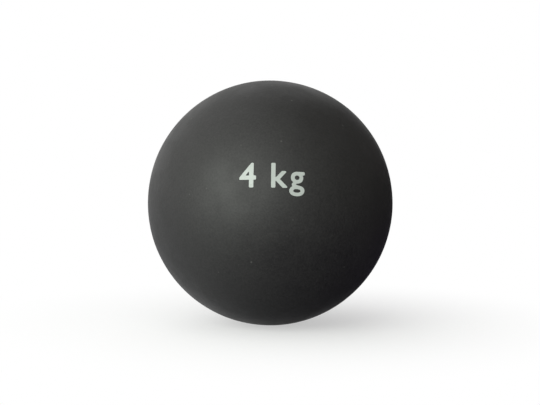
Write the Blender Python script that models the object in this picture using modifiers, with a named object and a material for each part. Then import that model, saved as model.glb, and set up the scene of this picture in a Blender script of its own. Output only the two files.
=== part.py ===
"""Indoor shot put: a soft moulded ball packed with steel shot.

The casing is one moulding with a counterbored filling hole. A flanged plug is pushed into the hole, its lip
catches behind the wall, and a bead of cement fills the groove around the flange. The ball's centre is the
origin, +Z is up, and the filling hole opens along +Y, away from the side that is shown.
"""

import math
from itertools import product

import bpy

# Driving dimensions of the casing, in metres
OUTER_DIAMETER = 0.128
WALL = 0.0055

# Driving dimensions of the filling hole's seat and of the plug
SEAT_LEDGE = 0.0026
SEAT_DEPTH = 0.0026
GROOVE_CHAMFER = 0.0012
LIP_CATCH = 0.0008
LIP_LAND = 0.0004
LIP_HEIGHT = 0.0016
LIP_TAPER = 0.0006
PLUG_FACE = 0.0030
PLUG_SKIRT = 0.0024
CORE_CHAMFER = 0.0008

# Clearances: between pieces that touch, and around a ball of shot on its way through the filling hole
FIT_GAP = 0.0003
POUR_CLEARANCE = 0.0004

# The shot sits on a close-packed lattice, out to the corners of a truncated octahedron
LATTICE_REACH_SQUARED = 5

# Finishes: colour, roughness and metallic value
CASING_PVC = ((0.0133, 0.0130, 0.0123), 0.57, 0.0)
PLUG_PVC = ((0.0158, 0.0155, 0.0150), 0.42, 0.0)
CEMENT = ((0.045, 0.042, 0.036), 0.25, 0.0)
SHOT_STEEL = ((0.55, 0.55, 0.56), 0.35, 1.0)

# Mesh resolution
TURN_STEPS = 48
FRONT_ARC_STEPS = 13
BACK_ARC_STEPS = 11
INNER_ARC_STEPS = 22
FACE_ARC_STEPS = 5
BEAD_ARC_STEPS = 2
SHOT_SEGMENTS = 16
SHOT_RINGS = 8
MERGE_DISTANCE = 1e-5

# Radii of the casing. The inner wall's facets dip inside its true sphere, and the shot keeps clear of them
outer_radius = OUTER_DIAMETER / 2
inner_radius = outer_radius - WALL
facet_ratio = math.cos(math.pi / TURN_STEPS) * math.cos(math.pi / INNER_ARC_STEPS / 2)
clear_radius = inner_radius * facet_ratio

# Neighbours on the lattice are a ball and a gap apart, and the outermost balls reach the inner wall
reach = math.sqrt(2 * LATTICE_REACH_SQUARED)
shot_radius = (clear_radius - FIT_GAP - reach * FIT_GAP / 2) / (1 + reach)
lattice_step = math.sqrt(2) * (shot_radius + FIT_GAP / 2)

# The filling hole lets one ball of shot through, and the plug takes its radii from the hole
bore_radius = shot_radius + POUR_CLEARANCE
seat_radius = bore_radius + SEAT_LEDGE
stem_radius = bore_radius - FIT_GAP
flange_radius = seat_radius - FIT_GAP
lip_radius = bore_radius + LIP_CATCH
core_radius = stem_radius - PLUG_SKIRT


def sphere_height(radius, off_axis):
    """Height above the centre of the point on a sphere that lies this far from the axis."""
    return math.sqrt(radius ** 2 - off_axis ** 2)


# Heights along the filling hole's axis, from the ball's centre
seat_edge = sphere_height(outer_radius, seat_radius + GROOVE_CHAMFER)
groove_floor = seat_edge - GROOVE_CHAMFER
seat_floor = seat_edge - SEAT_DEPTH
flange_under = seat_floor + FIT_GAP
lip_top = sphere_height(clear_radius, lip_radius) - FIT_GAP
plug_end = lip_top - LIP_HEIGHT
core_roof = outer_radius - PLUG_FACE


def sphere_arc(radius, start, end, steps):
    """Points (distance from the axis, height) on a circle about the centre, by angle from the hole's axis."""
    angles = [start + (end - start) * step / steps for step in range(steps + 1)]
    return [(radius * math.sin(angle), radius * math.cos(angle)) for angle in angles]


def angle_at(radius, off_axis):
    """Angle from the hole's axis of the point on a sphere that lies this far from the axis."""
    return math.asin(off_axis / radius)


def casing_profile():
    """From the inner wall's far pole, up to the hole, out over its seat and down the outside."""
    hole_angle = angle_at(inner_radius, bore_radius)
    rim_angle = angle_at(outer_radius, seat_radius + GROOVE_CHAMFER)
    inside = sphere_arc(inner_radius, math.pi, hole_angle, INNER_ARC_STEPS)
    outside_back = sphere_arc(outer_radius, rim_angle, math.pi / 2, BACK_ARC_STEPS)
    outside_front = sphere_arc(outer_radius, math.pi / 2, math.pi, FRONT_ARC_STEPS)
    seat = [
        (bore_radius, seat_floor),
        (seat_radius, seat_floor),
        (seat_radius, groove_floor),
    ]
    return inside + seat + outside_back + outside_front[1:]


def plug_profile():
    """From the middle of the flush face, over the flange, down past the lip and into the cored-out back."""
    face_edge = flange_radius - GROOVE_CHAMFER
    face = sphere_arc(outer_radius, 0, angle_at(outer_radius, face_edge), FACE_ARC_STEPS)
    body = [
        (flange_radius, groove_floor),
        (flange_radius, flange_under),
        (stem_radius, flange_under),
        (stem_radius, lip_top),
        (lip_radius, lip_top),
        (lip_radius, lip_top - LIP_LAND),
        (stem_radius - LIP_TAPER, plug_end),
        (core_radius, plug_end),
        (core_radius, core_roof - CORE_CHAMFER),
        (core_radius - CORE_CHAMFER, core_roof),
        (0, core_roof),
    ]
    return face + body


def bead_profile():
    """The cement's section: flush with the ball on top, and a gap inside the groove's two slopes."""
    slope_offset = FIT_GAP * math.sqrt(2)
    start = angle_at(outer_radius, flange_radius - GROOVE_CHAMFER + slope_offset)
    end = angle_at(outer_radius, seat_radius + GROOVE_CHAMFER - slope_offset)
    crown = sphere_arc(outer_radius, start, end, BEAD_ARC_STEPS)
    root = ((flange_radius + seat_radius) / 2, groove_floor + slope_offset)
    return crown + [root]


def shot_places():
    """Lattice points with an odd sum, so that each ball nests between its neighbours, within the reach."""
    most = math.isqrt(LATTICE_REACH_SQUARED)
    span = range(-most, most + 1)
    return [
        place
        for place in product(span, span, span)
        if sum(place) % 2 and sum(step ** 2 for step in place) <= LATTICE_REACH_SQUARED
    ]


def finish(name, colour, roughness, metallic):
    """A Principled material of one colour."""
    material = bpy.data.materials.new(name)
    material.use_nodes = True
    shader = material.node_tree.nodes["Principled BSDF"]
    shader.inputs["Base Color"].default_value = (*colour, 1)
    shader.inputs["Roughness"].default_value = roughness
    shader.inputs["Metallic"].default_value = metallic
    return material


def empty(name):
    """A named axis or point that pieces are placed from."""
    holder = bpy.data.objects.new(name, None)
    parts.objects.link(holder)
    return holder


def turned(name, profile, material, parent, closed=False):
    """A profile turned about the parent's Z axis. A closed profile makes a ring."""
    points = [(off_axis, 0, height) for off_axis, height in profile]
    edges = [(index, index + 1) for index in range(len(points) - 1)]
    if closed:
        edges.append((len(points) - 1, 0))
    mesh = bpy.data.meshes.new(name)
    mesh.from_pydata(points, edges, [])
    mesh.materials.append(material)
    piece = bpy.data.objects.new(name, mesh)
    piece.parent = parent
    parts.objects.link(piece)
    screw = piece.modifiers.new("turn", "SCREW")
    screw.axis = "Z"
    screw.steps = TURN_STEPS
    screw.render_steps = TURN_STEPS
    screw.use_smooth_shade = True
    screw.use_merge_vertices = True
    screw.merge_threshold = MERGE_DISTANCE


def add_shot(material, parent):
    """One ball of shot on every lattice place, all sharing one mesh."""
    bpy.ops.mesh.primitive_uv_sphere_add(
        segments=SHOT_SEGMENTS, ring_count=SHOT_RINGS, radius=shot_radius
    )
    pattern = bpy.context.active_object
    mesh = pattern.data
    mesh.name = "steel_shot"
    mesh.materials.append(material)
    mesh.shade_smooth()
    bpy.data.objects.remove(pattern)
    for number, place in enumerate(shot_places(), start=1):
        ball = bpy.data.objects.new(f"steel_shot_{number:02d}", mesh)
        ball.parent = parent
        ball.location = [step * lattice_step for step in place]
        parts.objects.link(ball)


for old in list(bpy.data.objects):
    bpy.data.objects.remove(old)

parts = bpy.data.collections.new("indoor_shot_put")
bpy.context.scene.collection.children.link(parts)

# The filling hole's axis is this empty's Z axis, laid along +Y
hole_axis = empty("filling_hole_axis")
hole_axis.rotation_euler = (-math.pi / 2, 0, 0)
fill_centre = empty("fill_centre")

turned("casing", casing_profile(), finish("casing_pvc", *CASING_PVC), hole_axis)
turned("filler_plug", plug_profile(), finish("plug_pvc", *PLUG_PVC), hole_axis)
turned("cement_ring", bead_profile(), finish("cement", *CEMENT), hole_axis, closed=True)
add_shot(finish("shot_steel", *SHOT_STEEL), fill_centre)
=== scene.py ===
"""Looks of a soft indoor shot put: its casing, plug, cement, steel shot and printed weight, on a pale floor.

Laid out as an add-on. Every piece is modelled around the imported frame, whose origin is the ball's centre.
+Z is up, the shown side faces -Y, and the filling hole opens along +Y.
"""

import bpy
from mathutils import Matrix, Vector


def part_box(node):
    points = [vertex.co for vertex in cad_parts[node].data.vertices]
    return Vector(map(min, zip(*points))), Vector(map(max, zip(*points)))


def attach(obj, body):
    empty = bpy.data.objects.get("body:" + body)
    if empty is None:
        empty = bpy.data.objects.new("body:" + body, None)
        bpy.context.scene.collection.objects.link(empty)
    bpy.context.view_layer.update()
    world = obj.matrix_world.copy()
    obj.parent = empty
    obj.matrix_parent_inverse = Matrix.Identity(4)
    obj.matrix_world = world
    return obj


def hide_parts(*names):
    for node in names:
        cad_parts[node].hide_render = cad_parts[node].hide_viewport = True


bl_info = {
    "name": "Indoor shot put",
    "version": (1, 0, 0),
    "blender": (4, 5, 0),
    "location": "View3D > Sidebar > Shot put",
    "description": "Models a soft indoor shot around its frame and sets it on a pale floor",
    "category": "Add Mesh",
}

import math

import bmesh
import bpy
from bpy.props import FloatProperty, FloatVectorProperty, PointerProperty, StringProperty
from mathutils import Matrix, Vector

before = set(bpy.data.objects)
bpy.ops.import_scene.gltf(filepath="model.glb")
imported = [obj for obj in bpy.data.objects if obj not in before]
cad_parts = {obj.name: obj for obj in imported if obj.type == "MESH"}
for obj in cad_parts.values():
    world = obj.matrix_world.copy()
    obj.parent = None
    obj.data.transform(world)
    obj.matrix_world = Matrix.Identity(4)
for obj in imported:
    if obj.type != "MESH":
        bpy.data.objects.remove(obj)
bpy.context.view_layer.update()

BODY = "root"
WHITE = (1, 1, 1, 1)

# Distances in metres under which points or sizes count as one: drawn exactly, and after rounding or cutting
TOUCH = 1e-6
CLOSE = 1e-5

# How far outside the cement, in metres, the casing's points still belong to its filling hole
HOLE_MARGIN = 0.001

# The photograph's frame in pixels, how far off its middle the ball is, the ball's radius, and the print's
# middle from the ball's
PHOTO_WIDTH = 540
PHOTO_BALL_RIGHT = 0.2
PHOTO_BALL_DOWN = 0.5
PHOTO_BALL_RADIUS = 122.4
PHOTO_MARK_RIGHT = 1.8
PHOTO_MARK_UP = 22.5

# The floor, the distances over which it turns from paint to white for the eye, and how white it is at the
# nearer one
FLOOR_RADIUS = 30.0
FLOOR_SIDES = 96
SHADOW_NEAR = 0.03
SHADOW_FAR = 0.18
SHADOW_WHITENESS = 0.5

# The floor in the ball's gloss: white far away, a painted white glow just behind the ball, and dark painted
# shade on the right, past a soft edge that leans as it runs to the back
GLEAM_NEAR = 0.05
GLEAM_FAR = 4.0
# Painted glow: a white spot on the floor just behind the ball, seen in the ball's gloss only
PAINTED_GLOW_PLACE = (-0.015, 0.0464, 0)
PAINTED_GLOW_NEAR = 0.043
PAINTED_GLOW_FAR = 0.086
PAINTED_GLOW_WHITENESS = 0.54
# Painted shade: the floor's right side turns dark in the ball's gloss only
PAINTED_SHADE_FROM = -0.059
PAINTED_SHADE_TO = 0.083
PAINTED_SHADE_LEAN = -0.45

# The dark cards that keep the white room off the ball's right side and off a strip of its top: where each
# one reaches from left to right, from front to back and from the floor up, and its share of the cards' grey
CARDS = {
    "side_card": ((0.340, 0.342), (-0.68, 0.83), (0, 3.0), 1.2),
    "low_card": ((0.333, 0.335), (-0.05, 0.9), (0, 0.13), 0.3),
    "overhead_card": ((-0.10, 0.10), (0, 1.0), (1.262, 1.264), 0.4),
}

# Sockets of a Mix node that hold its colours, which share their names with the sockets for its numbers
MIX_FIRST = 6
MIX_SECOND = 7
MIX_RESULT = 2

# In the finishes below, patterns are given in features to a metre, a band is the stretch of a noise that is
# spread over a range, a shade is a gain on the finish's colour, and a bump is a strength and a depth
NOISE_ROUGHNESS = 0.6

# Moulded grain: how fine it is on each piece, its coarse part against its fine part, and its slow mottle
CASING_GRAIN = 1000
PLUG_GRAIN = 900
INK_GRAIN = 1300
COARSE_FINENESS = 0.3
COARSE_DEPTH = 0.8
MOTTLE_PATTERN = 70
MOTTLE_BAND = (0.3, 0.7)
FRECKLE_MOTTLE = 0.2
FRECKLE_BAND = (0.3, 0.9)

# Dust: cells to a metre, the share of them with a speck, the largest speck against its cell, and the
# smallest against the largest
DUST_CELLS = 192
DUST_SHARE = 0.35
DUST_SIZE = 0.16
DUST_SMALLEST = 0.4

# Patches rubbed by handling, broken up by streaks
RUB_PATCHES = 24
RUB_PATCH_BAND = (0.5, 0.72)
RUB_STREAKS = 420
RUB_STREAK_BAND = (0.42, 0.68)
RUB_TURN = (0.4, 0.3, 0.5)
RUB_STRETCH = (1, 0.12, 0.5)

# Streaks of wiped cement
SMEAR_STREAKS = 330
SMEAR_BAND = (0.42, 0.6)
SMEAR_TURN = (0, 0.6, 0)
SMEAR_STRETCH = (0.2, 1, 1)

# Black PVC: its freckles, how much of it rub and wiped cement cover, and what mottle, rub and cement do to
# its roughness
PVC_SHADES = (0.64, 1.36)
PVC_RUB_SHADE = 1.9
PVC_RUB_COVER = 0.25
PVC_SMEAR_COVER = 0.45
PVC_MOTTLE_ROUGHNESS = 0.04
PVC_RUB_ROUGHNESS = 0.05
PVC_SMEAR_GLOSS = 0.25
PVC_BUMP = (0.9, 0.00006)

# Dried cement: clouds in its colour and roughness, and small waves
CEMENT_CLOUDS = 260
CEMENT_BAND = (0.3, 0.7)
CEMENT_SHADES = (0.7, 1.3)
CEMENT_ROUGHNESS = (0.18, 0.34)
CEMENT_WAVES = 700
CEMENT_BUMP = (0.4, 0.0001)

# Cast steel: from bright metal to dark scale, and small pits
STEEL_SCALE = 180
STEEL_BAND = (0.42, 0.7)
STEEL_SHADES = (1, 0.45)
STEEL_ROUGHNESS = (0.28, 0.5)
STEEL_PITS = 900
STEEL_BUMP = (0.3, 0.0001)

# Printing ink: its unevenness, and the thin spots that let the skin through
INK_SHADES = (0.83, 0.97)
INK_SPOTS = 1500
INK_SPOT_BAND = (0.62, 0.74)
INK_SPOT_SHADE = 0.35
INK_SPOT_COVER = 0.5
INK_ROUGHNESS = (0.5, 0.58)
INK_BUMP = (0.25, 0.00005)

# Mesh resolution
TURN_STEPS = 192
INNER_STEPS = 48
BACK_STEPS = 40
FRONT_STEPS = 52
FACE_STEPS = 12
CORNER_SEGMENTS = 3
SHOT_CUTS = 9
SMOOTH_ANGLE = math.radians(40)

# How far each ball of shot is turned past the one before it, about X, Y and Z
SHOT_TURN = (1.1, 2.3, 0.7)

# The printed letters: half the slab that they are swollen in, where 1 is the font's size, the slab's voxels,
# the bend under which a point of their outline is dropped, and the cells that bend with the skin
MARK_SLAB = 0.1
MARK_VOXEL = 0.00015
MARK_BEND = math.radians(4)
MARK_CELL = 0.0009


def profile_of(node):
    """(distance from the hole's axis, height along it) of the node's points in the plane of X and Y."""
    points = [point.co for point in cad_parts[node].data.vertices]
    return {
        (round(point.x, 6), round(point.y, 6))
        for point in points
        if point.x > -TOUCH and abs(point.z) < TOUCH
    }


def near(value, other):
    """True where two sizes read from the frame are the same size."""
    return abs(value - other) < CLOSE


# Sizes of the casing and its filling hole, read from the frame, in metres
casing_profile = profile_of("casing")
outer_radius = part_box("casing")[1].x
inner_radius = min(math.hypot(*point) for point in casing_profile)
plug_low, plug_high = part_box("filler_plug")
hole_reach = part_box("cement_ring")[1].x + HOLE_MARGIN
hole_profile = [
    (radius, height) for radius, height in casing_profile if height > plug_low.y and radius < hole_reach
]
bore_radius = min(radius for radius, height in hole_profile)
rim_radius = max(radius for radius, height in hole_profile)
seat_floor = max(height for radius, height in hole_profile if near(radius, bore_radius))
seat_radius = max(radius for radius, height in hole_profile if near(height, seat_floor))
groove_floor = max(height for radius, height in hole_profile if near(radius, seat_radius))

# Sizes of the plug, read from the frame
plug_profile = profile_of("filler_plug")
skirt_profile = [(radius, height) for radius, height in plug_profile if height < seat_floor - TOUCH]
flange_radius = plug_high.x
flange_under = min(height for radius, height in plug_profile if near(radius, flange_radius))
stem_radius = min(radius for radius, height in plug_profile if near(height, flange_under))
lip_radius = max(radius for radius, height in skirt_profile)
lip_top = max(height for radius, height in skirt_profile)
lip_edge = min(height for radius, height in skirt_profile if near(radius, lip_radius))
tip_radius = max(radius for radius, height in skirt_profile if near(height, plug_low.y))
core_radius = min(radius for radius, height in skirt_profile)
core_profile = [
    (radius, height)
    for radius, height in plug_profile
    if radius < core_radius + TOUCH and math.hypot(radius, height) < outer_radius - CLOSE
]
core_corner = max(height for radius, height in core_profile if near(radius, core_radius))
core_roof = max(height for radius, height in core_profile)
roof_radius = max(radius for radius, height in core_profile if near(height, core_roof))

# The groove between plug and casing: its inner edge, and its middle
face_edge = flange_radius - (rim_radius - seat_radius)
ring_radius = (face_edge + rim_radius) / 2

# The balls of shot
shot_names = sorted(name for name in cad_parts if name.startswith("steel_shot"))
shot_low, shot_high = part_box(shot_names[0])
shot_radius = (shot_high.x - shot_low.x) / 2


def on_ball(radius):
    """Height along the hole's axis of the ball's surface at this distance from the axis."""
    return math.sqrt(outer_radius ** 2 - radius ** 2)


class ShotPutSizes(bpy.types.PropertyGroup):
    """Sizes of the details that the frame leaves out."""

    ridge_width: FloatProperty(
        name="Ridge width", description="Width of the parting ridge around the casing",
        default=0.0011, unit="LENGTH",
    )
    ridge_height: FloatProperty(
        name="Ridge height", description="How far the trimmed parting ridge stands proud",
        default=0.0001, unit="LENGTH",
    )
    edge_round: FloatProperty(
        name="Edge round", description="Width of the rounding on the filling hole's edges",
        default=0.0004, unit="LENGTH",
    )
    plug_round: FloatProperty(
        name="Plug round", description="Width of the rounding on the plug's edges",
        default=0.0002, unit="LENGTH",
    )
    unevenness: FloatProperty(
        name="Unevenness", description="How far the soft skin strays from a true sphere",
        default=0.00014, unit="LENGTH",
    )
    lump_size: FloatProperty(
        name="Lump size", description="Size of the skin's shallow swells",
        default=0.03, unit="LENGTH",
    )
    gate_radius: FloatProperty(
        name="Gate radius", description="Radius of the dished gate in the plug's face",
        default=0.0034, unit="LENGTH",
    )
    gate_depth: FloatProperty(
        name="Gate depth", description="Depth of the dished gate in the plug's face",
        default=0.0006, unit="LENGTH",
    )
    gate_stub: FloatProperty(
        name="Gate stub", description="Radius of the cut stub in the middle of the gate",
        default=0.0011, unit="LENGTH",
    )
    bead_dip: FloatProperty(
        name="Bead dip", description="How far the cement sank below the ball's surface as it dried",
        default=0.00025, unit="LENGTH",
    )
    bead_bite: FloatProperty(
        name="Bead bite", description="How far the cement reaches into the two pieces it bonds",
        default=0.00006, unit="LENGTH",
    )
    ripple_size: FloatProperty(
        name="Ripple size", description="Size of the ripples in the dried cement",
        default=0.0035, unit="LENGTH",
    )
    smear_reach: FloatProperty(
        name="Smear reach", description="How far wiped cement spread to both sides of its groove",
        default=0.008, unit="LENGTH",
    )
    shot_roughness: FloatProperty(
        name="Shot roughness", description="Depth of the hollows in a cast ball of shot",
        default=0.00022, unit="LENGTH",
    )
    mark_text: StringProperty(
        name="Mark", description="The weight printed on the shown side", default="4 kg",
    )
    mark_width: FloatProperty(
        name="Mark width", description="Width of the printed weight",
        default=0.033, unit="LENGTH",
    )
    mark_spacing: FloatProperty(
        name="Mark spacing", description="Room between the letters, where 1 is the font's own",
        default=1.2,
    )
    mark_word_gap: FloatProperty(
        name="Mark word gap", description="Room between number and unit, where 1 is the font's own",
        default=0.6,
    )
    mark_weight: FloatProperty(
        name="Mark weight", description="How far the strokes swell to each side, past the font's own",
        default=0.00028, unit="LENGTH",
    )
    mark_tilt: FloatProperty(
        name="Mark tilt", description="How far the print is turned clockwise",
        default=math.radians(1), unit="ROTATION",
    )
    ink_film: FloatProperty(
        name="Ink film", description="Thickness of the printed film",
        default=0.00007, unit="LENGTH",
    )


class ShotPutFinishes(bpy.types.PropertyGroup):
    """Colours and roughness of the finishes."""

    casing: FloatVectorProperty(
        name="Casing", description="Soft black PVC of the casing",
        default=(0.0133, 0.0130, 0.0123), subtype="COLOR", min=0, max=1,
    )
    casing_roughness: FloatProperty(
        name="Casing roughness", description="Roughness of the casing's satin skin",
        default=0.568, subtype="FACTOR", min=0, max=1,
    )
    plug: FloatVectorProperty(
        name="Plug", description="Firmer black PVC of the plug",
        default=(0.0158, 0.0155, 0.0150), subtype="COLOR", min=0, max=1,
    )
    plug_roughness: FloatProperty(
        name="Plug roughness", description="Roughness of the plug's smoother skin",
        default=0.42, subtype="FACTOR", min=0, max=1,
    )
    cement: FloatVectorProperty(
        name="Cement", description="Dried solvent cement",
        default=(0.045, 0.042, 0.036), subtype="COLOR", min=0, max=1,
    )
    steel: FloatVectorProperty(
        name="Steel", description="Bare cast steel of the shot",
        default=(0.55, 0.55, 0.56), subtype="COLOR", min=0, max=1,
    )
    ink: FloatVectorProperty(
        name="Ink", description="Pale printing ink",
        default=(0.42, 0.455, 0.425), subtype="COLOR", min=0, max=1,
    )
    dust: FloatVectorProperty(
        name="Dust", description="Specks of dust on the skin",
        default=(0.065, 0.065, 0.060), subtype="COLOR", min=0, max=1,
    )


class ShotPutStage(bpy.types.PropertyGroup):
    """Camera, light, floor and cards."""

    camera_distance: FloatProperty(
        name="Camera distance", description="From the ball's centre to the camera",
        default=0.9, unit="LENGTH",
    )
    camera_height: FloatProperty(
        name="Camera height", description="Angle at which the camera looks down",
        default=math.radians(5), unit="ROTATION",
    )
    key_colour: FloatVectorProperty(
        name="Key colour", description="Colour of the softbox",
        default=(0.940, 1.0, 0.918), subtype="COLOR", min=0, max=1,
    )
    key_brightness: FloatProperty(
        name="Key brightness", description="Brightness of the softbox, where 1 is white",
        default=3.55,
    )
    key_side: FloatProperty(
        name="Key side", description="How far the softbox stands to the left of the camera",
        default=math.radians(33.7), unit="ROTATION",
    )
    key_rise: FloatProperty(
        name="Key rise", description="Angle of the softbox above the ball's centre",
        default=math.radians(15.9), unit="ROTATION",
    )
    key_distance: FloatProperty(
        name="Key distance", description="From the ball's centre to the softbox",
        default=1.0, unit="LENGTH",
    )
    key_width: FloatProperty(
        name="Key width", description="Width of the softbox",
        default=1.04, unit="LENGTH",
    )
    key_height: FloatProperty(
        name="Key height", description="Height of the softbox",
        default=0.87, unit="LENGTH",
    )
    floor: FloatVectorProperty(
        name="Floor", description="White paint of the floor",
        default=(0.95, 0.95, 0.95), subtype="COLOR", min=0, max=1,
    )
    floor_bounce: FloatVectorProperty(
        name="Floor, bounce", description="Colour of the floor in the light that it throws on the ball",
        default=(0.634, 0.633, 0.664), subtype="COLOR", min=0, max=1,
    )
    # Painted shade: the dark colour of the floor's right side, seen in the ball's gloss only
    floor_painted_shade: FloatVectorProperty(
        name="Floor, dim side", description="Colour of the floor's dim side in the ball's gloss",
        default=(0.074, 0.057, 0.100), subtype="COLOR", min=0, max=1,
    )
    card: FloatVectorProperty(
        name="Cards", description="Dark grey of the cards",
        default=(0.162, 0.152, 0.150), subtype="COLOR", min=0, max=1,
    )


def leave_edit_mode():
    """Back to object mode, with nothing selected."""
    if bpy.context.mode != "OBJECT":
        bpy.ops.object.mode_set(mode="OBJECT")
    bpy.ops.object.select_all(action="DESELECT")


def begin_profile(name, radius, height):
    """A new piece in edit mode with one point, from which a profile is drawn in the plane of X and Y."""
    leave_edit_mode()
    bpy.ops.mesh.primitive_plane_add(size=outer_radius)
    piece = bpy.context.active_object
    piece.name = name
    bpy.ops.object.mode_set(mode="EDIT")
    bpy.ops.mesh.select_mode(type="VERT")
    bpy.ops.mesh.merge(type="CENTER")
    bpy.ops.transform.translate(value=(radius, height, 0))
    return piece


def line_to(piece, *places):
    """Extrudes the profile's end from place to place, each a distance from the axis and a height."""
    for radius, height in places:
        points = bmesh.from_edit_mesh(piece.data).verts
        end = next(point.co.copy() for point in points if point.select)
        step = Vector((radius, height, 0)) - end
        bpy.ops.mesh.extrude_region_move(TRANSFORM_OT_translate={"value": step})


def arc_by(angle, steps):
    """Spins the profile's end about the ball's centre, towards the hole where the angle is positive."""
    bpy.ops.mesh.spin(steps=steps, angle=angle, center=(0, 0, 0), axis=(0, 0, -1))


def select_points(piece, wanted):
    """Selects the points in edit mode whose place is wanted."""
    mesh = bmesh.from_edit_mesh(piece.data)
    bpy.ops.mesh.select_all(action="DESELECT")
    for point in mesh.verts:
        point.select_set(wanted(point.co))
    mesh.select_flush_mode()
    bmesh.update_edit_mesh(piece.data)


def round_corners(piece, places, size):
    """Rounds the corners of the profile that lie at these places."""
    corners = [Vector((radius, height, 0)) for radius, height in places]
    select_points(piece, lambda place: any((place - corner).length < CLOSE for corner in corners))
    bpy.ops.mesh.bevel(offset=size, segments=CORNER_SEGMENTS, affect="VERTICES")


def sort_faces(piece):
    """Puts the faces in the order of their points, because a spin leaves them in another order each run."""
    mesh = bmesh.from_edit_mesh(piece.data)
    mesh.verts.index_update()
    count = len(mesh.verts)

    def rank(face):
        first, second, *_, last = sorted(point.index for point in face.verts)
        return (first * count + second) * count + last

    mesh.faces.sort(key=rank)
    bmesh.update_edit_mesh(piece.data)


def turn(piece):
    """Spins the whole profile about the hole's axis and closes its seam and poles."""
    bpy.ops.mesh.select_all(action="SELECT")
    bpy.ops.mesh.spin(steps=TURN_STEPS, angle=math.tau, center=(0, 0, 0), axis=(0, 1, 0))
    bpy.ops.mesh.select_all(action="SELECT")
    bpy.ops.mesh.remove_doubles(threshold=TOUCH)
    bpy.ops.mesh.normals_make_consistent(inside=False)
    sort_faces(piece)
    bpy.ops.object.mode_set(mode="OBJECT")
    bpy.ops.object.shade_smooth_by_angle(angle=SMOOTH_ANGLE)


def apply_modifier(piece, kind, **settings):
    """Adds a modifier with these settings to the piece and applies it."""
    bpy.context.view_layer.objects.active = piece
    modifier = piece.modifiers.new(kind.lower(), kind)
    for name, value in settings.items():
        setattr(modifier, name, value)
    bpy.ops.object.modifier_apply(modifier=modifier.name)


def cloud_texture(name, size):
    """A soft noise for Displace, with swells of this size."""
    texture = bpy.data.textures.new(name, "CLOUDS")
    texture.noise_scale = size
    texture.noise_depth = 1
    return texture


def hand_over(piece, material, slot, *nodes):
    """Gives a finished piece its material and its body, and hides the nodes that it stands for; the slot is
    not used.
    """
    piece.data.materials.clear()
    piece.data.materials.append(material)
    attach(piece, BODY)
    if nodes:
        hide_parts(*nodes)


def add_node(tree, kind, inputs=None, **settings):
    """A new node with these settings. An input is given a value, or the output that feeds it."""
    node = tree.nodes.new(kind)
    for name, value in settings.items():
        setattr(node, name, value)
    for socket, value in (inputs or {}).items():
        if isinstance(value, bpy.types.NodeSocket):
            tree.links.new(value, node.inputs[socket])
        else:
            node.inputs[socket].default_value = value
    return node


def math_node(tree, operation, first, second=0.0):
    """The result of one sum on two values or outputs."""
    return add_node(tree, "ShaderNodeMath", {0: first, 1: second}, operation=operation).outputs[0]


def map_range(tree, value, low, high, to_low=0.0, to_high=1.0):
    """A value moved smoothly from one range to another."""
    inputs = {"Value": value, "From Min": low, "From Max": high, "To Min": to_low, "To Max": to_high}
    return add_node(tree, "ShaderNodeMapRange", inputs, interpolation_type="SMOOTHSTEP").outputs["Result"]


def mix_colour(tree, share, first, second):
    """Two colours mixed by a share from 0 to 1."""
    inputs = {"Factor": share, MIX_FIRST: first, MIX_SECOND: second}
    return add_node(tree, "ShaderNodeMix", inputs, data_type="RGBA").outputs[MIX_RESULT]


def noise(tree, place, scale, detail=3):
    """Noise from 0 to 1 at a place, with this many features to a metre."""
    inputs = {"Vector": place, "Scale": scale, "Detail": detail, "Roughness": NOISE_ROUGHNESS}
    return add_node(tree, "ShaderNodeTexNoise", inputs).outputs["Fac"]


def stretched(tree, place, rotation, scale):
    """A place turned and stretched, so that noise on it runs in streaks."""
    inputs = {"Vector": place, "Rotation": rotation, "Scale": scale}
    return add_node(tree, "ShaderNodeMapping", inputs).outputs["Vector"]


def new_group(name, inputs, outputs):
    """An empty node group with float sockets after one Vector input; returns it and its ends' sockets."""
    tree = bpy.data.node_groups.new(name, "ShaderNodeTree")
    tree.interface.new_socket("Vector", in_out="INPUT", socket_type="NodeSocketVector")
    for label in inputs:
        tree.interface.new_socket(label, in_out="INPUT", socket_type="NodeSocketFloat")
    for label in outputs:
        tree.interface.new_socket(label, in_out="OUTPUT", socket_type="NodeSocketFloat")
    return tree, tree.nodes.new("NodeGroupInput").outputs, tree.nodes.new("NodeGroupOutput").inputs


def grain_group(name):
    """Fine moulded grain for bump, a slow mottle for gloss, and a freckle of both for colour."""
    tree, given, result = new_group(name, ["Fineness"], ["Height", "Mottle", "Freckle"])
    coarse_fineness = math_node(tree, "MULTIPLY", given["Fineness"], COARSE_FINENESS)
    fine = noise(tree, given["Vector"], given["Fineness"], detail=2)
    coarse = noise(tree, given["Vector"], coarse_fineness, detail=1)
    slow = noise(tree, given["Vector"], MOTTLE_PATTERN, detail=4)
    height = math_node(tree, "ADD", fine, math_node(tree, "MULTIPLY", coarse, COARSE_DEPTH))
    freckle = math_node(tree, "ADD", fine, math_node(tree, "MULTIPLY", slow, FRECKLE_MOTTLE))
    tree.links.new(height, result["Height"])
    tree.links.new(map_range(tree, slow, *MOTTLE_BAND), result["Mottle"])
    tree.links.new(map_range(tree, freckle, *FRECKLE_BAND), result["Freckle"])
    return tree


def dust_group(name):
    """Sparse specks: a small round spot in some of the cells of a cell pattern."""
    tree, given, result = new_group(name, ["Cells", "Share", "Size"], ["Mask"])
    inputs = {"Vector": given["Vector"], "Scale": given["Cells"]}
    cells = add_node(tree, "ShaderNodeTexVoronoi", inputs).outputs
    draw = add_node(tree, "ShaderNodeSeparateColor", {0: cells["Color"]}).outputs
    chosen = math_node(tree, "LESS_THAN", draw["Red"], given["Share"])
    size = math_node(tree, "MULTIPLY", given["Size"], map_range(tree, draw["Green"], 0, 1, DUST_SMALLEST))
    spot = map_range(tree, cells["Distance"], size, 0)
    tree.links.new(math_node(tree, "MULTIPLY", chosen, spot), result["Mask"])
    return tree


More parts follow.
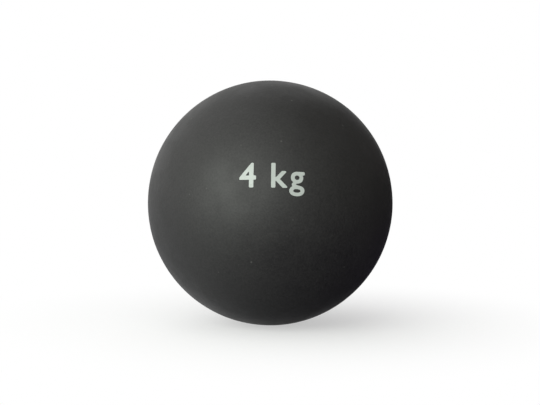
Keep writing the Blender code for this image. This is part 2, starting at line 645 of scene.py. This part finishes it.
def rub_group(name):
    """Patches where handling has rubbed the skin, broken up by fine streaks."""
    tree, given, result = new_group(name, ["Streaks"], ["Mask"])
    patches = map_range(tree, noise(tree, given["Vector"], RUB_PATCHES), *RUB_PATCH_BAND)
    along = stretched(tree, given["Vector"], RUB_TURN, RUB_STRETCH)
    streaks = map_range(tree, noise(tree, along, given["Streaks"]), *RUB_STREAK_BAND)
    tree.links.new(math_node(tree, "MULTIPLY", patches, streaks), result["Mask"])
    return tree


def smear_group(name):
    """Cement wiped off around the filling hole: streaks that fade with the distance from its ring."""
    tree, given, result = new_group(name, ["Ring", "Reach"], ["Mask"])
    place = add_node(tree, "ShaderNodeSeparateXYZ", {0: given["Vector"]}).outputs
    squares = [math_node(tree, "MULTIPLY", place[axis], place[axis]) for axis in ("X", "Z")]
    radius = math_node(tree, "SQRT", math_node(tree, "ADD", *squares))
    off_ring = math_node(tree, "ABSOLUTE", math_node(tree, "SUBTRACT", radius, given["Ring"]))
    hole_side = math_node(tree, "GREATER_THAN", place["Y"])
    halo = math_node(tree, "MULTIPLY", map_range(tree, off_ring, given["Reach"], 0), hole_side)
    along = stretched(tree, given["Vector"], SMEAR_TURN, SMEAR_STRETCH)
    streaks = map_range(tree, noise(tree, along, SMEAR_STREAKS), *SMEAR_BAND)
    tree.links.new(math_node(tree, "MULTIPLY", halo, streaks), result["Mask"])
    return tree


EFFECTS = {
    "Moulded grain": grain_group,
    "Dust specks": dust_group,
    "Handling rub": rub_group,
    "Wiped cement": smear_group,
}


def effect(tree, name, place, **values):
    """The outputs of a shared node group, built when it is first needed, with its own values here."""
    shared = bpy.data.node_groups.get(name) or EFFECTS[name](name)
    inputs = {"Vector": place, **{label.capitalize(): value for label, value in values.items()}}
    return add_node(tree, "ShaderNodeGroup", inputs, node_tree=shared).outputs


def new_material(name):
    """A material with one Principled shader; returns it, its node tree and the shader's inputs."""
    material = bpy.data.materials.new(name)
    material.use_nodes = True
    tree = material.node_tree
    return material, tree, tree.nodes["Principled BSDF"].inputs


def object_place(tree):
    """The place of a surface point in its object's own space."""
    return tree.nodes.new("ShaderNodeTexCoord").outputs["Object"]


def bump(tree, shader, height, strength, depth):
    """Feeds a height to the shader's normal."""
    inputs = {"Height": height, "Strength": strength, "Distance": depth}
    tree.links.new(add_node(tree, "ShaderNodeBump", inputs).outputs["Normal"], shader["Normal"])


def shade(colour, gain=1.0):
    """A colour made lighter or darker, with alpha."""
    return (*(channel * gain for channel in colour), 1)


def shades(tree, share, colour, gains):
    """From one shade of a colour to another, by a share from 0 to 1."""
    return mix_colour(tree, share, *(shade(colour, gain) for gain in gains))


def pvc(scene, name, colour, roughness, grain_fineness):
    """Moulded black PVC: fine grain, slow mottle, rubbed patches, wiped cement and a few specks of dust."""
    finishes = scene.shot_put_finishes
    reach = scene.shot_put_sizes.smear_reach
    material, tree, shader = new_material(name)
    place = object_place(tree)
    grain = effect(tree, "Moulded grain", place, fineness=grain_fineness)
    rub = effect(tree, "Handling rub", place, streaks=RUB_STREAKS)["Mask"]
    dust = effect(tree, "Dust specks", place, cells=DUST_CELLS, share=DUST_SHARE, size=DUST_SIZE)["Mask"]
    smear = effect(tree, "Wiped cement", place, ring=ring_radius, reach=reach)["Mask"]
    rubbed = math_node(tree, "MULTIPLY", rub, PVC_RUB_COVER)
    smeared = math_node(tree, "MULTIPLY", smear, PVC_SMEAR_COVER)
    skin = shades(tree, grain["Freckle"], colour, PVC_SHADES)
    skin = mix_colour(tree, rubbed, skin, shade(colour, PVC_RUB_SHADE))
    skin = mix_colour(tree, smeared, skin, shade(finishes.cement))
    skin = mix_colour(tree, dust, skin, shade(finishes.dust))
    tree.links.new(skin, shader["Base Color"])
    smoothest, roughest = roughness - PVC_MOTTLE_ROUGHNESS, roughness + PVC_MOTTLE_ROUGHNESS
    gloss = map_range(tree, grain["Mottle"], 0, 1, smoothest, roughest)
    gloss = math_node(tree, "ADD", gloss, math_node(tree, "MULTIPLY", rub, PVC_RUB_ROUGHNESS))
    gloss = math_node(tree, "SUBTRACT", gloss, math_node(tree, "MULTIPLY", smear, PVC_SMEAR_GLOSS))
    tree.links.new(gloss, shader["Roughness"])
    bump(tree, shader, grain["Height"], *PVC_BUMP)
    return material


def cement_finish(colour):
    """Dried cement: glossy, wavy, a little cloudy."""
    material, tree, shader = new_material("dried_cement")
    place = object_place(tree)
    clouds = noise(tree, place, CEMENT_CLOUDS)
    tree.links.new(shades(tree, clouds, colour, CEMENT_SHADES), shader["Base Color"])
    tree.links.new(map_range(tree, clouds, *CEMENT_BAND, *CEMENT_ROUGHNESS), shader["Roughness"])
    bump(tree, shader, noise(tree, place, CEMENT_WAVES, detail=2), *CEMENT_BUMP)
    return material


def steel_finish(colour):
    """Cast steel shot: tumbled bright, with darker scale in its hollows."""
    material, tree, shader = new_material("cast_steel")
    place = object_place(tree)
    scale = map_range(tree, noise(tree, place, STEEL_SCALE, detail=5), *STEEL_BAND)
    tree.links.new(shades(tree, scale, colour, STEEL_SHADES), shader["Base Color"])
    tree.links.new(map_range(tree, scale, 0, 1, *STEEL_ROUGHNESS), shader["Roughness"])
    shader["Metallic"].default_value = 1
    bump(tree, shader, noise(tree, place, STEEL_PITS), *STEEL_BUMP)
    return material


def ink_finish(colour):
    """Printed ink: pale, a little thin where the skin's grain shows through."""
    material, tree, shader = new_material("printing_ink")
    place = object_place(tree)
    grain = effect(tree, "Moulded grain", place, fineness=INK_GRAIN)
    thin = map_range(tree, noise(tree, place, INK_SPOTS), *INK_SPOT_BAND)
    worn = math_node(tree, "MULTIPLY", thin, INK_SPOT_COVER)
    film = shades(tree, grain["Mottle"], colour, INK_SHADES)
    film = mix_colour(tree, worn, film, shade(colour, INK_SPOT_SHADE))
    tree.links.new(film, shader["Base Color"])
    tree.links.new(map_range(tree, thin, 0, 1, *INK_ROUGHNESS), shader["Roughness"])
    bump(tree, shader, grain["Height"], *INK_BUMP)
    return material


class ShotPutCasing(bpy.types.Operator):
    """Turn the soft casing: its wall, its counterbored filling hole and its parting ridge"""

    bl_idname = "shot_put.casing"
    bl_label = "Casing"

    def execute(self, context):
        sizes = context.scene.shot_put_sizes
        finishes = context.scene.shot_put_finishes
        piece = self.draw_section(sizes)
        turn(piece)
        self.make_uneven(piece, sizes)
        material = pvc(context.scene, "soft_pvc", finishes.casing, finishes.casing_roughness, CASING_GRAIN)
        hand_over(piece, material, "casing_pvc", "casing")
        return {"FINISHED"}

    def draw_section(self, sizes):
        """From the inner wall's far pole, up to the hole, out over its seat and down the outside."""
        half_ridge = sizes.ridge_width / 2 / outer_radius
        ridge_foot = (outer_radius * math.cos(half_ridge), -outer_radius * math.sin(half_ridge))
        rim = (rim_radius, on_ball(rim_radius))
        ledge = (bore_radius, seat_floor)
        piece = begin_profile("soft_casing", 0, -inner_radius)
        arc_by(math.pi - math.asin(bore_radius / inner_radius), INNER_STEPS)
        line_to(piece, ledge, (seat_radius, seat_floor), (seat_radius, groove_floor), rim)
        arc_by(math.asin(rim_radius / outer_radius) + half_ridge - math.pi / 2, BACK_STEPS)
        line_to(piece, (outer_radius + sizes.ridge_height, 0), ridge_foot)
        arc_by(half_ridge - math.pi / 2, FRONT_STEPS)
        round_corners(piece, [ledge, rim], sizes.edge_round)
        return piece

    def make_uneven(self, piece, sizes):
        """Swells the outside a little, and leaves the filling hole true."""
        bpy.ops.object.mode_set(mode="EDIT")
        select_points(piece, lambda place: place.length > outer_radius - TOUCH and place.y < groove_floor)
        bpy.ops.object.vertex_group_assign_new()
        leave_edit_mode()
        swells = cloud_texture("skin_swells", sizes.lump_size)
        apply_modifier(
            piece, "DISPLACE", texture=swells, texture_coords="LOCAL",
            strength=sizes.unevenness, vertex_group=piece.vertex_groups[0].name,
        )
        piece.vertex_groups.clear()


class ShotPutPlug(bpy.types.Operator):
    """Turn the filler plug: its flush face with the gate, its flange, lip and cored-out back"""

    bl_idname = "shot_put.plug"
    bl_label = "Plug"

    def execute(self, context):
        finishes = context.scene.shot_put_finishes
        piece = self.draw_section(context.scene.shot_put_sizes)
        turn(piece)
        material = pvc(context.scene, "firm_pvc", finishes.plug, finishes.plug_roughness, PLUG_GRAIN)
        hand_over(piece, material, "plug_pvc", "filler_plug")
        return {"FINISHED"}

    def draw_section(self, sizes):
        """From the gate's stub, over the face and flange, down past the lip and into the cored-out back."""
        dish = outer_radius - sizes.gate_depth
        stub_top = dish + sizes.gate_depth / 2
        gate_edge = (sizes.gate_radius, on_ball(sizes.gate_radius))
        stub_edge = (sizes.gate_stub, stub_top)
        shoulder = (face_edge, on_ball(face_edge))
        flange_foot = (flange_radius, flange_under)
        lip = (lip_radius, lip_top)
        skirt_end = (core_radius, plug_low.y)
        piece = begin_profile("plug_moulding", 0, stub_top)
        line_to(piece, stub_edge, (sizes.gate_stub, dish), (sizes.gate_radius, dish), gate_edge)
        gate_angle = math.asin(sizes.gate_radius / outer_radius)
        arc_by(gate_angle - math.asin(face_edge / outer_radius), FACE_STEPS)
        line_to(piece, (flange_radius, groove_floor), flange_foot, (stem_radius, flange_under))
        line_to(piece, (stem_radius, lip_top), lip, (lip_radius, lip_edge), (tip_radius, plug_low.y))
        line_to(piece, skirt_end, (core_radius, core_corner), (roof_radius, core_roof), (0, core_roof))
        corners = [stub_edge, gate_edge, shoulder, flange_foot, lip, skirt_end]
        round_corners(piece, corners, sizes.plug_round)
        return piece


class ShotPutCement(bpy.types.Operator):
    """Turn the bead of cement in the groove around the plug, and let it set unevenly"""

    bl_idname = "shot_put.cement"
    bl_label = "Cement"

    def execute(self, context):
        sizes = context.scene.shot_put_sizes
        piece = self.draw_section(sizes)
        turn(piece)
        ripples = cloud_texture("cement_ripples", sizes.ripple_size)
        apply_modifier(
            piece, "DISPLACE", texture=ripples, texture_coords="LOCAL", strength=sizes.bead_dip
        )
        hand_over(piece, cement_finish(context.scene.shot_put_finishes.cement), "cement", "cement_ring")
        return {"FINISHED"}

    def draw_section(self, sizes):
        """A closed section: a sunken crown between plug and casing, down to the groove's floor."""
        inner_edge = face_edge - sizes.bead_bite
        outer_edge = rim_radius + sizes.bead_bite
        middle = (inner_edge + outer_edge) / 2
        crown = (middle, on_ball(middle) - sizes.bead_dip)
        crown_round = (outer_edge - inner_edge) / 3
        inner_top = (inner_edge, on_ball(inner_edge) - sizes.bead_bite)
        piece = begin_profile("cement_bead", *inner_top)
        line_to(piece, crown, (outer_edge, on_ball(outer_edge) - sizes.bead_bite))
        line_to(piece, (middle, groove_floor - sizes.bead_bite), inner_top)
        bpy.ops.mesh.select_all(action="SELECT")
        bpy.ops.mesh.remove_doubles(threshold=TOUCH)
        round_corners(piece, [crown], crown_round)
        return piece


class ShotPutFill(bpy.types.Operator):
    """Shape one cast ball of steel shot and copy it to every place in the casing"""

    bl_idname = "shot_put.fill"
    bl_label = "Steel shot"

    def execute(self, context):
        pattern = self.shape_ball(context.scene.shot_put_sizes.shot_roughness)
        material = steel_finish(context.scene.shot_put_finishes.steel)
        for number, node in enumerate(shot_names, start=1):
            low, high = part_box(node)
            leave_edit_mode()
            pattern.select_set(True)
            bpy.ops.object.duplicate(linked=False)
            ball = bpy.context.selected_objects[0]
            ball.name = node.replace("steel_shot", "shot_ball")
            ball.location = (low + high) / 2
            ball.rotation_euler = [number * step for step in SHOT_TURN]
            bpy.ops.object.transform_apply()
            hand_over(ball, material, "shot_steel", node)
        bpy.data.objects.remove(pattern)
        return {"FINISHED"}

    def shape_ball(self, depth):
        """A cube cast to a ball, with shallow hollows this deep."""
        leave_edit_mode()
        bpy.ops.mesh.primitive_cube_add(size=shot_radius)
        ball = bpy.context.active_object
        bpy.ops.object.mode_set(mode="EDIT")
        bpy.ops.mesh.subdivide(number_cuts=SHOT_CUTS)
        bpy.ops.object.mode_set(mode="OBJECT")
        apply_modifier(
            ball, "CAST", cast_type="SPHERE", factor=1, size=shot_radius, use_radius_as_size=False
        )
        hollows = cloud_texture("shot_hollows", shot_radius / 2)
        apply_modifier(
            ball, "DISPLACE", texture=hollows, texture_coords="LOCAL", mid_level=1, strength=depth
        )
        bpy.ops.object.shade_smooth()
        return ball


class ShotPutMark(bpy.types.Operator):
    """Print the weight on the shown side, as a thin film of ink that follows the skin"""

    bl_idname = "shot_put.mark"
    bl_label = "Printed weight"

    def execute(self, context):
        scene = context.scene
        sizes = scene.shot_put_sizes
        piece = self.write(sizes)
        self.fit(piece, sizes.mark_width - 2 * sizes.mark_weight)
        self.embolden(piece, sizes.mark_weight)
        self.cut_cells(sizes.mark_width)
        self.put_in_place(piece, sizes.mark_tilt, scene.shot_put_stage.camera_height)
        self.lay_film(piece, sizes.ink_film)
        hand_over(piece, ink_finish(scene.shot_put_finishes.ink), "mark_ink")
        return {"FINISHED"}

    def write(self, sizes):
        """The letters as an upright slab, made a mesh."""
        leave_edit_mode()
        bpy.ops.object.text_add()
        piece = bpy.context.active_object
        piece.name = "weight_mark"
        piece.data.body = sizes.mark_text
        piece.data.space_character = sizes.mark_spacing
        piece.data.space_word = sizes.mark_word_gap
        piece.data.extrude = MARK_SLAB
        bpy.ops.object.convert(target="MESH")
        return piece

    def fit(self, piece, width):
        """Scales the letters to their width and centres them."""
        xs, ys = zip(*((point.co.x, point.co.y) for point in piece.data.vertices))
        middle = Vector(((min(xs) + max(xs)) / 2, (min(ys) + max(ys)) / 2, 0))
        scale = width / (max(xs) - min(xs))
        piece.data.transform(Matrix.Scale(scale, 4) @ Matrix.Translation(-middle))

    def embolden(self, piece, weight):
        """Swells the slab of letters, and keeps its section near half thickness, filled again."""
        apply_modifier(piece, "REMESH", mode="VOXEL", voxel_size=MARK_VOXEL)
        apply_modifier(piece, "DISPLACE", mid_level=0, strength=weight)
        apply_modifier(piece, "REMESH", mode="VOXEL", voxel_size=MARK_VOXEL)
        between_points = MARK_VOXEL / 10
        bpy.ops.object.mode_set(mode="EDIT")
        bpy.ops.mesh.select_all(action="SELECT")
        bpy.ops.mesh.bisect(
            plane_co=(0, 0, between_points), plane_no=(0, 0, 1), threshold=TOUCH,
            clear_inner=True, clear_outer=True,
        )
        bpy.ops.mesh.select_all(action="SELECT")
        bpy.ops.mesh.dissolve_limited(angle_limit=MARK_BEND)
        bpy.ops.mesh.select_all(action="SELECT")
        bpy.ops.mesh.fill()

    def cut_cells(self, width):
        """Cuts the flat letters into cells that can bend."""
        cuts = round(width / MARK_CELL)
        for axis in (Vector((1, 0, 0)), Vector((0, 1, 0))):
            for cut in range(-cuts // 2, cuts // 2 + 1):
                bpy.ops.mesh.select_all(action="SELECT")
                bpy.ops.mesh.bisect(plane_co=axis * cut * MARK_CELL, plane_no=axis)
        bpy.ops.mesh.select_all(action="SELECT")
        bpy.ops.mesh.remove_doubles(threshold=CLOSE)
        bpy.ops.object.mode_set(mode="OBJECT")

    def put_in_place(self, piece, tilt, camera_height):
        """Stands the letters up before the ball, and swings them to where the photograph has its print."""
        right = math.asin(PHOTO_MARK_RIGHT / PHOTO_BALL_RADIUS)
        up = camera_height + math.asin(PHOTO_MARK_UP / PHOTO_BALL_RADIUS)
        upright = Matrix.Rotation(math.pi / 2, 4, "X")
        tilted = Matrix.Rotation(tilt, 4, "Y")
        outward = Matrix.Translation((0, -outer_radius, 0))
        swung = Matrix.Rotation(right, 4, "Z") @ Matrix.Rotation(-up, 4, "X")
        piece.matrix_world = swung @ outward @ tilted @ upright
        bpy.ops.object.transform_apply()

    def lay_film(self, piece, film):
        """Wraps the letters on the skin, just clear of it, and gives them their thickness."""
        skin = bpy.data.objects["soft_casing"]
        clearance = film / 4
        apply_modifier(
            piece, "SHRINKWRAP", target=skin, wrap_method="NEAREST_SURFACEPOINT",
            wrap_mode="ABOVE_SURFACE", offset=clearance,
        )
        apply_modifier(piece, "SOLIDIFY", thickness=film, offset=1)


class ShotPutSetStage(bpy.types.Operator):
    """Set the pale floor, the white surroundings, the softbox, the dark cards and the camera"""

    bl_idname = "shot_put.stage"
    bl_label = "Stage"

    def execute(self, context):
        scene = context.scene
        stage = scene.shot_put_stage
        scene.view_settings.view_transform = "Standard"
        self.add_world(scene)
        self.add_floor(stage)
        self.add_cards(stage)
        self.add_key(stage)
        self.add_camera(scene, stage)
        return {"FINISHED"}

    def add_world(self, scene):
        """Plain white surroundings."""
        world = bpy.data.worlds.new("white_room")
        world.use_nodes = True
        world.node_tree.nodes["Background"].inputs["Color"].default_value = WHITE
        scene.world = world

    def add_floor(self, stage):
        """A wide pale floor under the ball."""
        leave_edit_mode()
        bpy.ops.mesh.primitive_circle_add(
            vertices=FLOOR_SIDES, radius=FLOOR_RADIUS, fill_type="NGON", location=(0, 0, -outer_radius)
        )
        floor = bpy.context.active_object
        floor.name = "floor"
        floor.data.materials.append(self.floor_finish(stage))

    def floor_finish(self, stage):
        """White to the eye away from the ball, with its shadow near it; a painted glow and painted shade in
        the ball's gloss.
        """
        material, tree, _ = new_material("pale_floor")
        tree.nodes.remove(tree.nodes["Principled BSDF"])
        place = object_place(tree)
        path = tree.nodes.new("ShaderNodeLightPath").outputs
        distance = self.measure(tree, place, "LENGTH")
        clear = map_range(tree, distance, SHADOW_NEAR, SHADOW_FAR, SHADOW_WHITENESS)
        seen = math_node(tree, "MAXIMUM", path["Is Camera Ray"], path["Is Transmission Ray"])
        far = map_range(tree, distance, GLEAM_NEAR, GLEAM_FAR)
        # Painted glow: a white spot just behind the ball, which only the ball's gloss sees
        behind = self.measure(tree, place, "DISTANCE", PAINTED_GLOW_PLACE)
        behind = map_range(tree, behind, PAINTED_GLOW_NEAR, PAINTED_GLOW_FAR, PAINTED_GLOW_WHITENESS, 0)
        gleam = math_node(tree, "MULTIPLY", path["Is Glossy Ray"], math_node(tree, "MAXIMUM", far, behind))
        white = math_node(tree, "ADD", math_node(tree, "MULTIPLY", seen, clear), gleam)
        # Painted shade: in the ball's gloss only, the floor turns dark past a soft leaning edge on the right
        dim = map_range(tree, self.measure(tree, place, "DOT_PRODUCT", (1, PAINTED_SHADE_LEAN, 0)), PAINTED_SHADE_FROM, PAINTED_SHADE_TO)
        dim = math_node(tree, "MULTIPLY", path["Is Glossy Ray"], dim)
        colour = mix_colour(tree, dim, shade(stage.floor_bounce), shade(stage.floor_painted_shade))
        colour = mix_colour(tree, path["Is Camera Ray"], colour, shade(stage.floor))
        paint = add_node(tree, "ShaderNodeBsdfDiffuse", {"Color": colour}).outputs[0]
        glow = add_node(tree, "ShaderNodeEmission", {"Color": WHITE, "Strength": 1}).outputs[0]
        mixed = add_node(tree, "ShaderNodeMixShader", {0: white, 1: paint, 2: glow}).outputs[0]
        tree.links.new(mixed, tree.nodes["Material Output"].inputs["Surface"])
        return material

    def measure(self, tree, place, operation, other=(0, 0, 0)):
        """A number worked out from a place on the floor and another place or direction."""
        inputs = {0: place, 1: other}
        return add_node(tree, "ShaderNodeVectorMath", inputs, operation=operation).outputs["Value"]

    def add_cards(self, stage):
        """Thin dark cards out of the camera's sight."""
        for name, (*reaches, share) in CARDS.items():
            low, high = (Vector(corner) for corner in zip(*reaches))
            leave_edit_mode()
            bpy.ops.mesh.primitive_cube_add(size=1)
            card = bpy.context.active_object
            card.name = name
            card.scale = high - low
            card.location = (low + high) / 2 - Vector((0, 0, outer_radius))
            bpy.ops.object.transform_apply()
            card.visible_camera = False
            material, _, shader = new_material(name)
            shader["Base Color"].default_value = shade(stage.card, share)
            shader["Roughness"].default_value = 1
            shader["Specular IOR Level"].default_value = 0
            card.data.materials.append(material)

    def add_key(self, stage):
        """A large softbox ahead of the ball on the left; its power is pi times its area and brightness."""
        forward = math.cos(stage.key_rise)
        left = forward * math.sin(stage.key_side)
        ahead = forward * math.cos(stage.key_side)
        direction = Vector((-left, -ahead, math.sin(stage.key_rise)))
        leave_edit_mode()
        bpy.ops.object.light_add(type="AREA", location=direction * stage.key_distance)
        lamp = bpy.context.active_object
        lamp.name = "softbox"
        lamp.rotation_euler = (-direction).to_track_quat("-Z", "Y").to_euler()
        lamp.data.shape = "RECTANGLE"
        lamp.data.size = stage.key_width
        lamp.data.size_y = stage.key_height
        lamp.data.color = stage.key_colour
        lamp.data.energy = stage.key_brightness * math.pi * stage.key_width * stage.key_height
        lamp.visible_camera = False

    def add_camera(self, scene, stage):
        """A camera on the ball's centre, at the lens that gives the ball its size in the photograph."""
        distance = stage.camera_distance
        place = Vector((0, -math.cos(stage.camera_height), math.sin(stage.camera_height))) * distance
        leave_edit_mode()
        bpy.ops.object.camera_add(location=place, rotation=(math.pi / 2 - stage.camera_height, 0, 0))
        camera = bpy.context.active_object
        edge_slope = outer_radius / math.sqrt(distance ** 2 - outer_radius ** 2)
        camera.data.lens = PHOTO_BALL_RADIUS / edge_slope * camera.data.sensor_width / PHOTO_WIDTH
        camera.data.shift_x = -PHOTO_BALL_RIGHT / PHOTO_WIDTH
        camera.data.shift_y = PHOTO_BALL_DOWN / PHOTO_WIDTH
        scene.camera = camera


class ShotPutPanel(bpy.types.Panel):
    """Lists the pieces, the sizes, the finishes and the stage"""

    bl_idname = "VIEW3D_PT_shot_put"
    bl_label = "Indoor shot put"
    bl_space_type = "VIEW_3D"
    bl_region_type = "UI"
    bl_category = "Shot put"

    def draw(self, context):
        for operator in OPERATORS:
            self.layout.operator(operator.bl_idname)
        for name, group in GROUPS.items():
            box = self.layout.box()
            for setting in group.__annotations__:
                box.prop(getattr(context.scene, name), setting)


GROUPS = {
    "shot_put_sizes": ShotPutSizes,
    "shot_put_finishes": ShotPutFinishes,
    "shot_put_stage": ShotPutStage,
}
OPERATORS = (ShotPutCasing, ShotPutPlug, ShotPutCement, ShotPutFill, ShotPutMark, ShotPutSetStage)
CLASSES = (*GROUPS.values(), *OPERATORS, ShotPutPanel)


def register():
    """Registers the classes and hangs the properties on the scene."""
    for cls in CLASSES:
        bpy.utils.register_class(cls)
    for name, group in GROUPS.items():
        setattr(bpy.types.Scene, name, PointerProperty(type=group))


def unregister():
    """Takes the properties and the classes away again."""
    for name in GROUPS:
        delattr(bpy.types.Scene, name)
    for cls in reversed(CLASSES):
        bpy.utils.unregister_class(cls)


def main():
    """Makes every piece and the stage."""
    register()
    bpy.ops.shot_put.casing()
    bpy.ops.shot_put.plug()
    bpy.ops.shot_put.cement()
    bpy.ops.shot_put.fill()
    bpy.ops.shot_put.mark()
    bpy.ops.shot_put.stage()
    leave_edit_mode()


if __name__ == "__main__":
    main()
